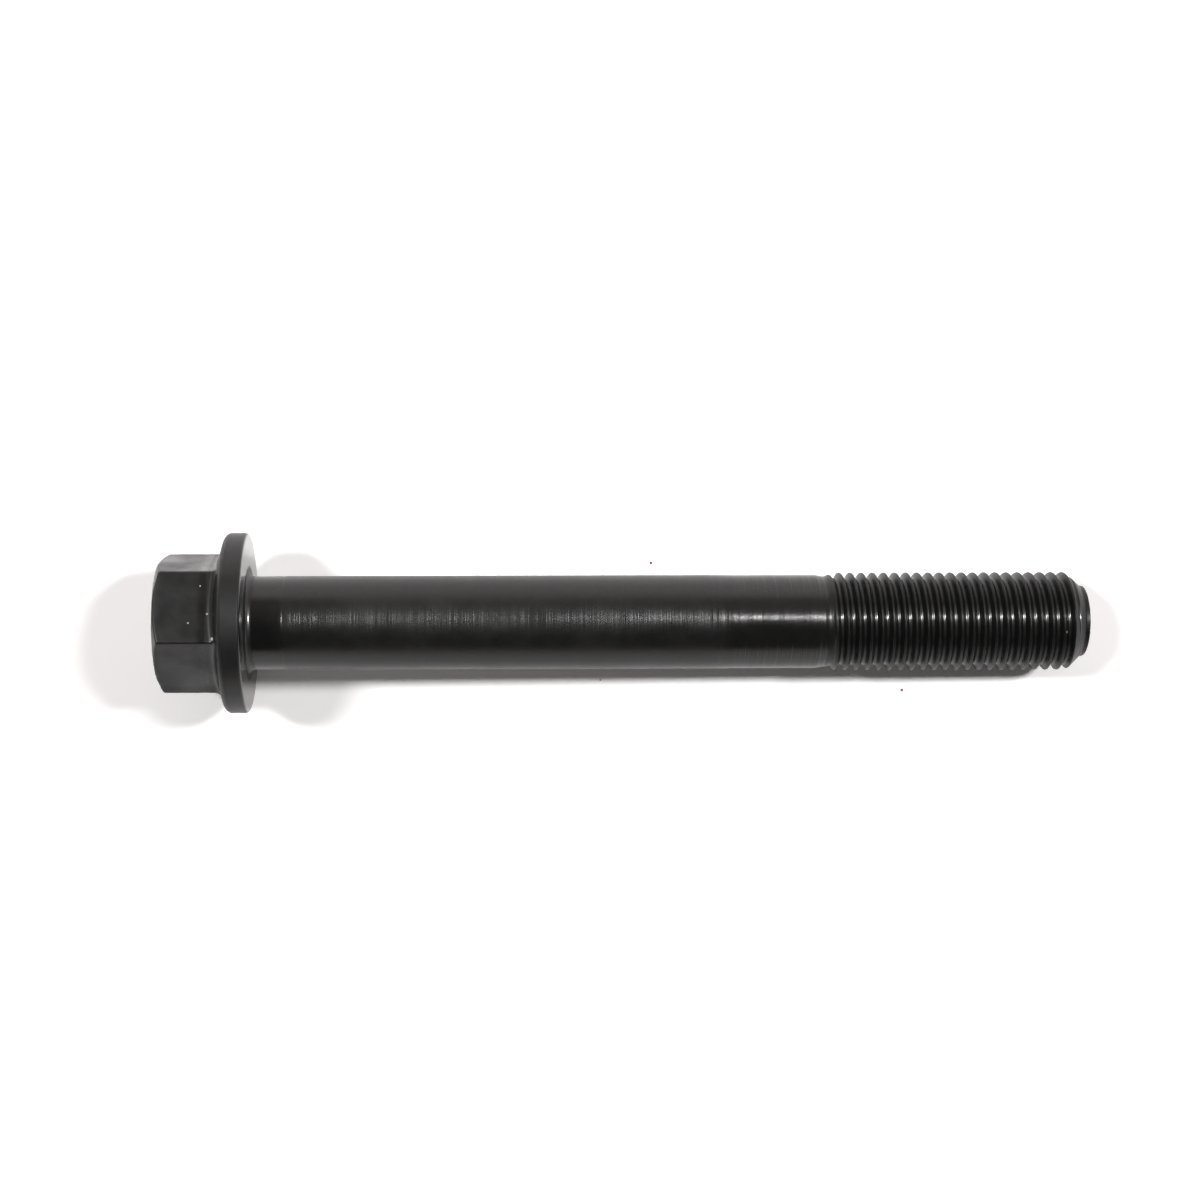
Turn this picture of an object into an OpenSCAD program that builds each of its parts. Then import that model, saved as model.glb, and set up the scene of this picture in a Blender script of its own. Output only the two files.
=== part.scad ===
// Flanged hex bolt, M11 x 1.25, with a plain shank and a rolled thread at its end.
// The axis of the bolt is +X: the head lies towards -X and the thread towards +X.
// The origin is the centre of the bearing face, the flat underside of the flange.
// One forging, divided where its form changes: the zones meet face to face.

/* [Hexagon] */
// Across flats of the wrench hexagon
hex_across_flats = 14; // [12.5:0.1:16]
// Height of the whole head, from the bearing face to the end face
head_height = 10; // [7:0.1:14]
// Diameter of the flat end face inside the chamfer
end_face_d = 13.2; // [9:0.1:13.6]
// Angle of the end chamfer, measured from the end face
end_chamfer_angle = 29; // [15:1:40]
// Radius that blends the end chamfer into the corners of the hexagon
corner_blend_r = 0.8; // [0.4:0.1:2]
// Turn of the hexagon about the axis of the bolt
hex_turn = 15; // [0:1:60]

/* [Flange] */
// Outer diameter of the flange
flange_d = 20.2; // [17.5:0.1:26]
// Thickness of the flange at its rim
rim_thickness = 2.4; // [1.2:0.1:3.5]
// Radius on both edges of the rim
rim_edge_r = 0.4; // [0.1:0.05:0.5]
// Slope of the flange's back, measured from the bearing face
flange_slope = 16; // [5:1:30]

/* [Shank] */
// Diameter of the plain shank
shank_d = 10.5; // [9.6:0.05:11]
// Length of the bolt under its head
underhead_length = 93.4; // [60:0.1:150]
// Radius of the fillet between the shank and the bearing face
underhead_fillet_r = 0.7; // [0.2:0.05:1.5]
// Length of the taper from the shank down to the thread blank
blank_taper_length = 0.9; // [0.4:0.1:3]

/* [Thread] */
// Nominal (major) diameter of the thread
thread_d = 11; // [10.6:0.05:12]
// Pitch of the thread
thread_pitch = 1.25; // [0.75:0.05:1.6]
// Included angle of the flanks of the thread
thread_angle = 60; // [55:1:60]
// Length from the start of the runout to the end of the bolt
thread_length = 29; // [12:0.1:45]
// Length of the runout, where the thread rises out of the blank
runout_length = 1.2; // [0.5:0.1:5]
// Turn of the thread about the axis of the bolt
thread_turn = 138; // [0:1:359]

/* [Point] */
// Diameter of the short plain point
point_d = 7.9; // [6:0.1:9]
// Length of the short plain point
point_length = 0.45; // [0.25:0.05:3]
// Angle of the chamfer at the end of the thread, measured from the axis
thread_chamfer_angle = 45; // [30:1:60]
// Radius on the edge of the point's end
point_edge_r = 0.2; // [0.05:0.05:0.4]

/* [Hidden] */
$fn = 96;
arc_steps = 6;
finish = "#2c2d2f";

// Radii
flat_r = hex_across_flats / 2;
corner_r = flat_r / cos(30);
end_face_r = end_face_d / 2;
flange_r = flange_d / 2;
shank_r = shank_d / 2;
crest_r = thread_d / 2;
point_r = point_d / 2;

// Basic thread form: the depths below the crest are shares of the sharp triangle's height
sharp_height = thread_pitch / 2 / tan(thread_angle / 2);
root_share = 17 / 24;
blank_share = 3 / 8;
crest_share = 1 / 8;
root_r = crest_r - root_share * sharp_height;
blank_r = crest_r - blank_share * sharp_height;
crest_width = crest_share * thread_pitch;
flank_width = (crest_r - root_r) * tan(thread_angle / 2);
root_width = thread_pitch - crest_width - 2 * flank_width;

// Places along the axis
head_end = -head_height;
flange_back = flange_back_at(flat_r);
thread_start = underhead_length - thread_length;
point_start = underhead_length - point_length;
thread_end = point_start - (root_r - point_r) / tan(thread_chamfer_angle);

// The thread is a mesh of columns along the axis. Each column holds the corners of every
// groove that it crosses, and lies one part of a pitch further on than the column before.
columns = 30;
corners = 4;
corner_offset = [
    -crest_width / 2,
    crest_width / 2,
    crest_width / 2 + flank_width,
    crest_width / 2 + flank_width + root_width
];
corner_radius = [crest_r, crest_r, root_r, root_r];
turns_before = 2;
turns = turns_before + ceil((thread_end - thread_start) / thread_pitch) + 1;
rows = corners * turns;
shortest_edge = 0.01;

// Points of an arc in the plane of a profile
function arc(centre, r, from, to) = [
    for (i = [0 : arc_steps])
        let (angle = from + (to - from) * i / arc_steps)
            centre + r * [cos(angle), sin(angle)]
];

// Distance from a corner to where an arc that rounds it meets its sides
function tangent_length(r, slope) = r * tan((90 - slope) / 2);

// Place along the axis of the flange's sloped back, at a radius
function flange_back_at(r) = -rim_thickness - (flange_r - r) * tan(flange_slope);

// Radius of the chamfer at the end of the thread, at a place along the axis
function thread_chamfer_at(x) = point_r + (point_start - x) * tan(thread_chamfer_angle);

// Share of its full depth that the thread has reached, at a place along the axis
function runout_at(x) = min(1, (x - thread_start) / runout_length);

// A place along the axis, held between the ends of the thread with no sliver left beside them
function held(x) =
    x < thread_start + shortest_edge ? thread_start
    : x > thread_end - shortest_edge ? thread_end
    : x;

// Place along the axis of one corner of the thread
function corner_x(column, row) =
    let (turn = floor(row / corners) - turns_before + thread_turn / 360 + column / columns)
    held(thread_start + thread_pitch * turn + corner_offset[row % corners]);

// Radius of one corner of the thread: out of the blank in the runout, under the chamfer at the end
function corner_r_at(x, row) =
    min(thread_chamfer_at(x), blank_r + runout_at(x) * (corner_radius[row % corners] - blank_r));

// Row beside a given row in the next column: past the last column the helix has gained one pitch
function next_row(column, row) = column < columns - 1 ? row : row + corners;

// Faces between two corners of a column and the same two in the next: a side of no length has none
function faces_between(column, row) =
    let (
        beside = (column + 1) % columns,
        beside_row = next_row(column, row),
        here = column * rows + row,
        there = beside * rows + beside_row
    )
    concat(
        corner_x(column, row) < corner_x(column, row + 1) ? [[here, here + 1, there + 1]] : [],
        corner_x(beside, beside_row) < corner_x(beside, beside_row + 1) ? [[here, there + 1, there]] : []
    );

// Turns a profile, drawn as radius and place along the axis, about the axis of the bolt
module turned() {
    rotate([0, 90, 0])
        rotate_extrude()
            children();
}

// Hexagonal bar along the axis, with a flat facing up before it is turned
module hexagon_bar(from, to) {
    rotate([-hex_turn, 0, 0])
        translate([from, 0, 0])
            rotate([0, 90, 0])
                rotate([0, 0, 30])
                    cylinder(r = corner_r, h = to - from, $fn = 6);
}

// Round envelope of the hexagon: the end chamfer, blended into the corners
module end_chamfer() {
    chamfer_height = (corner_r - end_face_r) * tan(end_chamfer_angle);
    blend_centre = [
        corner_r - corner_blend_r,
        head_end + chamfer_height + tangent_length(corner_blend_r, end_chamfer_angle)
    ];
    turned()
        polygon(concat(
            [[0, 0], [0, head_end], [end_face_r, head_end]],
            arc(blend_centre, corner_blend_r, end_chamfer_angle - 90, 0),
            [[corner_r, 0]]
        ));
}

// Profile of the flange: flat bearing face, rounded rim and sloped back up to the hexagon
module flange_profile() {
    edge_centre_r = flange_r - rim_edge_r;
    back_edge = -rim_thickness + tangent_length(rim_edge_r, flange_slope);
    polygon(concat(
        [[0, 0]],
        arc([edge_centre_r, -rim_edge_r], rim_edge_r, 90, 0),
        arc([edge_centre_r, back_edge], rim_edge_r, 0, flange_slope - 90),
        [[flat_r, flange_back], [0, flange_back]]
    ));
}

// Profile of the neck: the fillet from the bearing face into the shank, rooted in the flange
module neck_profile() {
    outer_r = shank_r + underhead_fillet_r;
    difference() {
        translate([0, -rim_thickness])
            square([outer_r, rim_thickness + underhead_fillet_r]);
        translate([outer_r, underhead_fillet_r])
            circle(r = underhead_fillet_r);
    }
}

// Solid of the flange with the neck that it carries, so that its bearing face is a ring
module flange_body() {
    turned()
        flange_profile();
    turned()
        neck_profile();
}

// Wrench hexagon, seated all round on the flange's sloped back
module hex_head() {
    color(finish)
        difference() {
            intersection() {
                hexagon_bar(head_end, -rim_thickness);
                end_chamfer();
            }
            flange_body();
        }
}

// Flange and neck, forged in one with the head
module flange() {
    color(finish)
        flange_body();
}

// Plain shank from the end of the neck, with its short taper down to the thread blank
module shank() {
    color(finish)
        turned()
            polygon([
                [0, underhead_fillet_r],
                [shank_r, underhead_fillet_r],
                [shank_r, thread_start - blank_taper_length],
                [blank_r, thread_start],
                [0, thread_start]
            ]);
}

// Right-hand rolled thread, one closed solid from its runout to its chamfered end
module thread() {
    points = [
        for (column = [0 : columns - 1])
            for (row = [0 : rows - 1])
                let (
                    angle = 360 * column / columns,
                    x = corner_x(column, row),
                    r = corner_r_at(x, row)
                )
                [x, r * cos(angle), r * sin(angle)]
    ];
    start_face = [for (column = [0 : columns - 1]) column * rows];
    end_face = [for (column = [columns - 1 : -1 : 0]) column * rows + rows - 1];
    side_faces = [
        for (column = [0 : columns - 1])
            for (row = [0 : rows - 2 - next_row(column, 0)])
                each faces_between(column, row)
    ];
    color(finish)
        polyhedron(points = points, faces = concat([start_face, end_face], side_faces), convexity = 10);
}

// Short plain point, with the last of the thread's chamfer leading down to it
module point() {
    color(finish)
        turned()
            polygon(concat(
                [[0, thread_end], [root_r, thread_end], [point_r, point_start]],
                arc([point_r - point_edge_r, underhead_length - point_edge_r], point_edge_r, 0, 90),
                [[0, underhead_length]]
            ));
}

hex_head();
flange();
shank();
thread();
point();
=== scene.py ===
"""Looks of a flanged hex bolt in black oxide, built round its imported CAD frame.

All sizes are in millimetres until they're written into a mesh, which is in metres.
The axis of the bolt is +X, and the centre of its bearing face is the origin.
"""

import logging
import math
from dataclasses import dataclass
from enum import Enum
from typing import Any, Optional, Sequence, Union

import bpy
import numpy as np
from mathutils import Euler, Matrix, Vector


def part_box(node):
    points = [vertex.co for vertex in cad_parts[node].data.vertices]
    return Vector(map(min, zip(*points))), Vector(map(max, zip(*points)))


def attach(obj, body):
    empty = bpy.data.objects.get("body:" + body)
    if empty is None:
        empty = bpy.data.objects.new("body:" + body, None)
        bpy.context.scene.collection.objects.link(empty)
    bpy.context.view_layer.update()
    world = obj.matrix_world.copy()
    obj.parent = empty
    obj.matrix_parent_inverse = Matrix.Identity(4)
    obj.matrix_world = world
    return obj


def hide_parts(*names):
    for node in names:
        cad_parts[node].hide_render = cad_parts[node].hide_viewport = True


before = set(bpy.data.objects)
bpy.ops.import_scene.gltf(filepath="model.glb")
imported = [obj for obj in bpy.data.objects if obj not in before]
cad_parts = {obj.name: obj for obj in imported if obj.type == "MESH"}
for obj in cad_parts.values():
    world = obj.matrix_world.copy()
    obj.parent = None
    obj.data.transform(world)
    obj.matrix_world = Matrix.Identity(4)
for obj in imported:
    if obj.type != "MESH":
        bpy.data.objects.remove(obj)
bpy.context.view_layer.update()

LOG = logging.getLogger("bolt")
MM = 0.001
TAU = 2.0 * math.pi

Colour = tuple[float, float, float]
Point2 = tuple[float, float]
Point3 = tuple[float, float, float]

# Numbers of the Mix node's sockets for colours
MIX_SHARE, MIX_FIRST, MIX_SECOND, MIX_RESULT = 0, 6, 7, 2


# ---------------------------------------------------------------- node graphs


class Wire:
    """One value in a node graph. Arithmetic on wires adds Math nodes to the graph."""

    def __init__(self, graph: "Graph", socket: bpy.types.NodeSocket) -> None:
        """Keeps the graph and the output socket that carries the value."""
        self.graph = graph
        self.socket = socket

    def __add__(self, other: "Value") -> "Wire":
        """This value plus another."""
        return self.graph.maths("ADD", self, other)

    def __radd__(self, other: "Value") -> "Wire":
        """Another value plus this one."""
        return self.graph.maths("ADD", other, self)

    def __sub__(self, other: "Value") -> "Wire":
        """This value less another."""
        return self.graph.maths("SUBTRACT", self, other)

    def __rsub__(self, other: "Value") -> "Wire":
        """Another value less this one."""
        return self.graph.maths("SUBTRACT", other, self)

    def __mul__(self, other: "Value") -> "Wire":
        """This value times another."""
        return self.graph.maths("MULTIPLY", self, other)

    def __rmul__(self, other: "Value") -> "Wire":
        """Another value times this one."""
        return self.graph.maths("MULTIPLY", other, self)

    def __truediv__(self, other: "Value") -> "Wire":
        """This value over another."""
        return self.graph.maths("DIVIDE", self, other)

    def __rtruediv__(self, other: "Value") -> "Wire":
        """Another value over this one."""
        return self.graph.maths("DIVIDE", other, self)

    def __abs__(self) -> "Wire":
        """This value without its sign."""
        return self.graph.maths("ABSOLUTE", self)

    def least(self, other: "Value") -> "Wire":
        """The smaller of this value and another."""
        return self.graph.maths("MINIMUM", self, other)

    def most(self, other: "Value") -> "Wire":
        """The larger of this value and another."""
        return self.graph.maths("MAXIMUM", self, other)

    def over(self, threshold: "Value") -> "Wire":
        """1 where this value is over a threshold, otherwise 0."""
        return self.graph.maths("GREATER_THAN", self, threshold)

    def ramp(self, low: "Value", high: "Value") -> "Wire":
        """Rises smoothly from 0 at low to 1 at high, and may also fall if low is the larger."""
        return self.graph.node(
            "ShaderNodeMapRange",
            {"interpolation_type": "SMOOTHSTEP", "clamp": True},
            {"Value": self, "From Min": low, "From Max": high, "To Min": 0.0, "To Max": 1.0},
        )


Value = Union[Wire, float, int]


class Graph:
    """A node tree that is filled through one method."""

    def __init__(self, tree: bpy.types.NodeTree) -> None:
        """Clears the tree and takes it over.

        Args:
            tree: the shader or geometry tree to fill.
        """
        self.tree = tree
        tree.nodes.clear()

    def node(
        self,
        kind: str,
        settings: Optional[dict[str, Any]] = None,
        inputs: Optional[dict[Union[str, int], Any]] = None,
        output: Union[str, int] = 0,
    ) -> Wire:
        """Adds a node, its settings first and its inputs after.

        Args:
            kind: type name of the node.
            settings: attributes to set on the node.
            inputs: wires to link or constants to set, by socket name or number.
            output: name or number of the output to hand back.

        Returns:
            The chosen output as a wire.
        """
        made = self.tree.nodes.new(kind)
        for name, value in (settings or {}).items():
            setattr(made, name, value)
        for key, value in (inputs or {}).items():
            self.feed(made.inputs[key], value)
        if not made.outputs:
            return Wire(self, made.inputs[0])
        return Wire(self, made.outputs[output])

    def feed(self, socket: bpy.types.NodeSocket, value: Any) -> None:
        """Links a wire to a socket, or sets a constant on it.

        Args:
            socket: the input to feed.
            value: the wire or the constant.
        """
        if isinstance(value, Wire):
            self.tree.links.new(value.socket, socket)
        else:
            socket.default_value = value

    def maths(self, operation: str, *values: Value) -> Wire:
        """Adds a Math node and hands back its result."""
        return self.node("ShaderNodeMath", {"operation": operation}, dict(enumerate(values)))

    def vector(self, operation: str, *values: Any, output: str = "Vector") -> Wire:
        """Adds a Vector Math node and hands back one of its results."""
        return self.node(
            "ShaderNodeVectorMath", {"operation": operation}, dict(enumerate(values)), output
        )

    def parts(self, vector: Wire) -> tuple[Wire, Wire, Wire]:
        """Splits a vector into its X, Y and Z."""
        split = self.node("ShaderNodeSeparateXYZ", None, {0: vector}).socket.node
        return tuple(Wire(self, split.outputs[axis]) for axis in "XYZ")

    def join(self, x: Value, y: Value, z: Value) -> Wire:
        """Makes a vector of three values."""
        return self.node("ShaderNodeCombineXYZ", None, {0: x, 1: y, 2: z})

    def blend(self, share: Value, first: Any, second: Any) -> Wire:
        """Mixes two colours.

        Args:
            share: share of the second colour, from 0 to 1.
            first: colour or wire at share 0.
            second: colour or wire at share 1.

        Returns:
            The mixed colour.
        """
        return self.node(
            "ShaderNodeMix",
            {"data_type": "RGBA"},
            {MIX_SHARE: share, MIX_FIRST: first, MIX_SECOND: second},
            MIX_RESULT,
        )

    def millimetres(self, place: Wire) -> Wire:
        """A place in metres as one in millimetres."""
        return self.vector("MULTIPLY", place, (1.0 / MM,) * 3)

    def noise(self, where: Wire, size: float, detail: float = 2.0, rough: float = 0.5) -> Wire:
        """Smooth noise about 0.5.

        Args:
            where: place in millimetres.
            size: size of its blotches in millimetres.
            detail: number of finer layers.
            rough: weight of the finer layers.

        Returns:
            The noise, from 0 to 1.
        """
        return self.node(
            "ShaderNodeTexNoise",
            {"noise_dimensions": "3D"},
            {"Vector": where, "Scale": 1.0 / size, "Detail": detail, "Roughness": rough},
        )


def rgba(colour: Colour) -> tuple[float, float, float, float]:
    """A colour with full alpha."""
    return (*colour, 1.0)


# ------------------------------------------------------------------- finishes


class Handling(Enum):
    """How the surface of a zone was left before it was blackened."""

    FORGED = "forged"
    TURNED = "turned"
    DRAWN = "drawn"
    ROLLED = "rolled"
    CROPPED = "cropped"


@dataclass(frozen=True)
class Fade:
    """Stretch of a measure over which something fades in.

    Args:
        start: measure at which there is none of it.
        full: measure at which it's all there, over or under the start.
    """

    start: float
    full: float

    def at(self, measure: Wire) -> Wire:
        """Share at a measure, from 0 to 1."""
        return measure.ramp(self.start, self.full)


@dataclass(frozen=True)
class Rings:
    """Uneven rings round the axis, as a die or a cutting tool leaves them.

    Args:
        size: mean width of a ring.
        strength: how strongly they show.
        detail: number of finer layers.
        rough: weight of the finer layers.
        shift: sideways shift to another pattern.
    """

    size: float
    strength: float
    detail: float = 0.0
    rough: float = 0.5
    shift: float = 0.0

    def at(self, graph: Graph, along: Wire) -> Wire:
        """Level of the rings at a place along the axis, from 0 to 1."""
        return graph.noise(graph.join(along, self.shift, 0.0), self.size, self.detail, self.rough)


@dataclass(frozen=True)
class Speck:
    """A fleck at a known place: dust or lint, or a pale dot painted as a highlight.

    Args:
        place: centre on the surface.
        radius: half its width.
        core: share of the radius that it covers fully.
    """

    place: Point3
    radius: float
    core: float = 0.4

    def cover(self, graph: Graph, where: Wire) -> Wire:
        """Share of the surface that it covers at a place in millimetres."""
        distance = graph.vector("DISTANCE", where, self.place, output="Value")
        return distance.ramp(self.radius, self.radius * self.core)


# How blotches, oil film, dust and pale flecks painted as highlights show on every zone
BROAD_RATIO = 3.1
PALE_FROM, PALE_RISE = 0.35, 1.6
PALE_GAIN, PALE_LIFT = 1.6, 0.001
FILM_FROM, FILM_RISE = 0.3, 2.2
DUST_AND_GLINT_COLOUR: Colour = (0.62, 0.60, 0.57)
DUST_AND_GLINT_ROUGHNESS = 0.5
DUST_CELLS = 0.55
DUST_LEAST, DUST_SPREAD, DUST_SOLID = 0.012, 0.025, 3.0
SMOOTHEST, ROUGHEST = 0.08, 0.95

# The grain's coarser layer, as shares of the fine one's size and height
COARSE_SIZE, COARSE_HEIGHT = 6.0, 2.2

# The top of the bolt, by the sine of the angle round its axis
TOP_LINE = Fade(0.90, 0.97)

# Hexagon, along the axis: the strip before the foot fillet, and the edge of the end face
FOOT_STRIP, FOOT_STRIP_END, FOOT_ROUGHNESS = Fade(-5.2, -4.4), Fade(-3.9, -4.2), 0.22
END_EDGE, END_EDGE_ROUGHER = Fade(-9.2, -9.6), 0.08

# Flange, along the axis: the bearing face and the neck; off the axis: the face near the neck
BEARING_FACE, BEARING_ROUGHNESS = Fade(-0.25, -0.05), 0.14
BEARING_OIL, BEARING_OIL_INNER = Fade(-0.12, -0.02), Fade(6.0, 6.7)
NEAR_NECK, NEAR_NECK_ROUGHNESS = Fade(6.7, 6.0), 0.40
NECK_OIL, NECK_OIL_END = Fade(0.08, 0.2), Fade(0.68, 0.55)
FLANGE_RINGS, FLANGE_RINGS_FADE = Rings(0.16, 0.004, 2.0, 0.6), Fade(-0.05, -0.35)

# Shank, along the axis: the die's land, the stretch after it, the far half and the turned end
DIE_LAND, DIE_LAND_ROUGHNESS = Fade(4.5, 3.5), 0.17
NEAR_END, NEAR_END_ROUGHNESS = Fade(14.0, 4.5), 0.30
FAR_HALF, FAR_HALF_ROUGHNESS = Fade(37.0, 44.0), 0.32
TURNED_END, TURNED_END_ROUGHNESS = Fade(50.0, 54.5), 0.20
DRAWING_RINGS = Rings(0.3, 0.008, 1.0)
LEAN_START, LEAN_GROWTH, LEAN_GAIN = Fade(3.9, 5.2), Fade(36.0, 44.0), 0.35
TURNING_RINGS, TURNING_START, TURNING_GAIN = Rings(0.32, 0.06, shift=7.0), Fade(50.0, 54.0), 0.55

# Thread, off the axis: the root and its bottom
ROOT, ROOT_ROUGHNESS = Fade(5.06, 4.96), 0.30
ROOT_BOTTOM = Fade(4.89, 4.86)

# Rings on the shank and the thread that only show as a lean of the surface along the axis
FINEST_RINGS = Rings(0.028, 1.2)


@dataclass(frozen=True)
class BlackOxide:
    """Black oxide on steel, with oil, dust and pale flecks painted as highlights, as it looks on
    one zone of the bolt.

    Args:
        name: name of the material.
        handling: how the steel under it was worked.
        colour: colour of the oxide.
        roughness: mean roughness.
        mottle: how far blotches change the roughness.
        mottle_size: size of the blotches.
        grain: height of the fine grain.
        grain_size: size of the fine grain.
        oil: greatest weight of the oil film on open surfaces.
        dust: share of cells that hold a speck of dust.
        specks: flecks at known places, dust or pale dots painted as highlights.
        index: refractive index of the oxide's surface.
        film_index: refractive index of the film over it.
        film_roughness: roughness of the film.
    """

    name: str
    handling: Handling
    colour: Colour
    roughness: float
    mottle: float
    mottle_size: float
    grain: float
    grain_size: float
    oil: float
    dust: float
    specks: tuple[Speck, ...] = ()
    index: float = 1.56
    film_index: float = 1.47
    film_roughness: float = 0.14

    def material(self) -> bpy.types.Material:
        """Builds the material.

        Returns:
            A material with one Principled surface.
        """
        made = bpy.data.materials.new(self.name)
        made.use_nodes = True
        graph = Graph(made.node_tree)
        where = graph.millimetres(graph.node("ShaderNodeTexCoord", output="Object"))
        blotch = graph.noise(where, self.mottle_size, 3.0, 0.55)
        broad = graph.noise(where, self.mottle_size * BROAD_RATIO)
        dust_and_glint = self.flecks(graph, where).least(1.0)
        paler = tuple(min(1.0, part * PALE_GAIN + PALE_LIFT) for part in self.colour)
        colour = graph.blend((blotch - PALE_FROM) * PALE_RISE, rgba(self.colour), rgba(paler))
        # Dust, and the flecks painted as highlights, lighten the colour here
        colour = graph.blend(dust_and_glint, colour, rgba(DUST_AND_GLINT_COLOUR))
        rough = self.roughness_over(graph, where) + (blotch + broad - 1.0) * self.mottle * 2.0
        rough = (rough + dust_and_glint * DUST_AND_GLINT_ROUGHNESS).least(ROUGHEST).most(SMOOTHEST)
        height = self.relief(graph, where) * MM
        normal = graph.node(
            "ShaderNodeBump",
            None,
            {
                "Strength": 1.0,
                "Distance": 1.0,
                "Height": height,
                "Normal": self.leaning(graph, where),
            },
        )
        film = (broad - FILM_FROM).most(0.0) * FILM_RISE * self.oil
        film = film.most(self.pooled_oil(graph, where))
        surface = graph.node(
            "ShaderNodeBsdfPrincipled",
            None,
            {
                "Base Color": colour,
                "Metallic": 0.0,
                "IOR": self.index,
                "Roughness": rough,
                "Normal": normal,
                "Coat Weight": film.least(1.0),
                "Coat Roughness": self.film_roughness,
                "Coat IOR": self.film_index,
            },
        )
        graph.node("ShaderNodeOutputMaterial", None, {"Surface": surface})
        return made

    def flecks(self, graph: Graph, where: Wire) -> Wire:
        """Dust over the surface as sparse random specks, and the known flecks, some of them pale
        dots painted as highlights.

        Args:
            graph: the graph being filled.
            where: place in millimetres.

        Returns:
            The share of the surface that dust and painted highlight flecks cover.
        """
        cells = graph.node(
            "ShaderNodeTexVoronoi",
            {"feature": "F1", "distance": "EUCLIDEAN"},
            {"Vector": where, "Scale": DUST_CELLS, "Randomness": 1.0},
            "Distance",
        ).socket.node
        chance = graph.parts(Wire(graph, cells.outputs["Color"]))
        size = DUST_LEAST + chance[1] * DUST_SPREAD
        near = 1.0 - (Wire(graph, cells.outputs["Distance"]) / size).least(1.0)
        total = (near * DUST_SOLID).least(1.0) * (self.dust - chance[0]).over(0.0)
        for speck in self.specks:
            total = total.most(speck.cover(graph, where))
        return total

    @staticmethod
    def off_axis(graph: Graph, where: Wire) -> Wire:
        """Distance from the axis of the bolt, in millimetres."""
        across = graph.vector("MULTIPLY", where, (0.0, 1.0, 1.0))
        return graph.vector("LENGTH", across, output="Value")

    def pooled_oil(self, graph: Graph, where: Wire) -> Value:
        """Oil that lies along the top of the roots, on the bearing face and in the neck.

        Args:
            graph: the graph being filled.
            where: place in millimetres.

        Returns:
            The weight of the film, from 0 to 1.
        """
        along, _, up = graph.parts(where)
        off_axis = self.off_axis(graph, where)
        top = TOP_LINE.at(up / off_axis)
        if self.handling is Handling.ROLLED:
            return ROOT_BOTTOM.at(off_axis) * top
        if self.handling is Handling.TURNED:
            face = BEARING_OIL.at(along) * BEARING_OIL_INNER.at(off_axis)
            return face.most(NECK_OIL.at(along) * NECK_OIL_END.at(along) * top)
        return 0.0

    def roughness_over(self, graph: Graph, where: Wire) -> Value:
        """Roughness over the zone, before blotches and dust.

        Args:
            graph: the graph being filled.
            where: place in millimetres.

        Returns:
            The roughness.
        """
        along = graph.parts(where)[0]
        base = self.roughness
        if self.handling is Handling.FORGED:
            foot = FOOT_STRIP.at(along) * FOOT_STRIP_END.at(along) * (FOOT_ROUGHNESS - base)
            return base + foot + END_EDGE.at(along) * END_EDGE_ROUGHER
        if self.handling is Handling.TURNED:
            near_neck = NEAR_NECK.at(self.off_axis(graph, where))
            face = near_neck * (NEAR_NECK_ROUGHNESS - BEARING_ROUGHNESS) + BEARING_ROUGHNESS
            return base + BEARING_FACE.at(along) * (face - base)
        if self.handling is Handling.DRAWN:
            return (
                base
                + DIE_LAND.at(along) * (DIE_LAND_ROUGHNESS - NEAR_END_ROUGHNESS)
                + NEAR_END.at(along) * (NEAR_END_ROUGHNESS - base)
                + FAR_HALF.at(along) * (FAR_HALF_ROUGHNESS - base)
                + TURNED_END.at(along) * (TURNED_END_ROUGHNESS - FAR_HALF_ROUGHNESS)
            )
        if self.handling is Handling.ROLLED:
            return base + ROOT.at(self.off_axis(graph, where)) * (ROOT_ROUGHNESS - base)
        return base

    def leaning(self, graph: Graph, where: Wire) -> Wire:
        """Normal of the surface, leaned along the axis by rings too fine for the relief.

        Args:
            graph: the graph being filled.
            where: place in millimetres.

        Returns:
            The normal, which is the plain one on zones without such rings.
        """
        normal = graph.node("ShaderNodeNewGeometry", output="Normal")
        if self.handling not in (Handling.DRAWN, Handling.ROLLED):
            return normal
        along = graph.parts(where)[0]
        lean = (FINEST_RINGS.at(graph, along) - 0.5) * FINEST_RINGS.strength
        if self.handling is Handling.DRAWN:
            strength = TURNING_RINGS.strength + TURNING_START.at(along) * TURNING_GAIN
            lean = lean + (TURNING_RINGS.at(graph, along) - 0.5) * strength
            lean = lean * LEAN_START.at(along) * (1.0 + LEAN_GROWTH.at(along) * LEAN_GAIN)
        return graph.vector("NORMALIZE", graph.vector("ADD", normal, graph.join(lean, 0.0, 0.0)))

    def relief(self, graph: Graph, where: Wire) -> Wire:
        """Fine relief: grain in two sizes, with the rings of turning and of drawing.

        Args:
            graph: the graph being filled.
            where: place in millimetres.

        Returns:
            The height, in millimetres.
        """
        fine = graph.noise(where, self.grain_size, 2.0, 0.6) * self.grain
        coarse = graph.noise(where, self.grain_size * COARSE_SIZE) * (self.grain * COARSE_HEIGHT)
        relief = fine + coarse
        along = graph.parts(where)[0]
        if self.handling is Handling.TURNED:
            rings = FLANGE_RINGS.at(graph, along) * FLANGE_RINGS.strength
            return (relief + rings) * FLANGE_RINGS_FADE.at(along)
        if self.handling is Handling.DRAWN:
            return relief + DRAWING_RINGS.at(graph, along) * DRAWING_RINGS.strength
        return relief


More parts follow.
